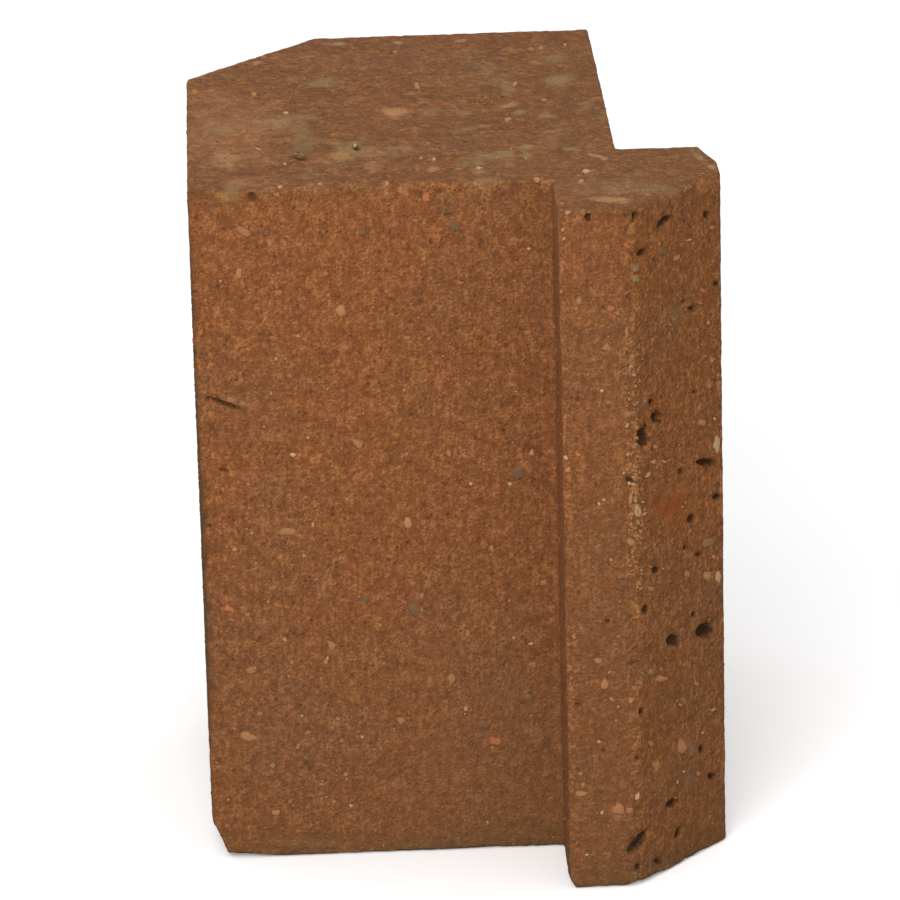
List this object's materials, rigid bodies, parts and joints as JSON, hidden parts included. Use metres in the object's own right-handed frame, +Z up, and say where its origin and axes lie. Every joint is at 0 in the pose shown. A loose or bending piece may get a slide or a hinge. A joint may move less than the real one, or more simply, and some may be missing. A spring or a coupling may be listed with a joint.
{
  "type": "concrete corner brick",
  "caption": "Solid pressed concrete brick for a wall's corner: a block whose inside corner is cut at 45 degrees, with a mitred lug wrapped round its outside corner.",
  "frame": {"origin": "middle of the outline's box, on the bed that the brick stands on", "axes": "+X along the front face towards the lug's outer side, +Y from the front face towards the back end, +Z up out of the bed"},
  "size_m": [0.147, 0.178, 0.2],
  "materials": {
    "brown_concrete": "rough, pressed, pigmented through"
  },
  "bodies": {
    "root": {"corner_brick": "brown_concrete"}
  },
  "joints": []
}
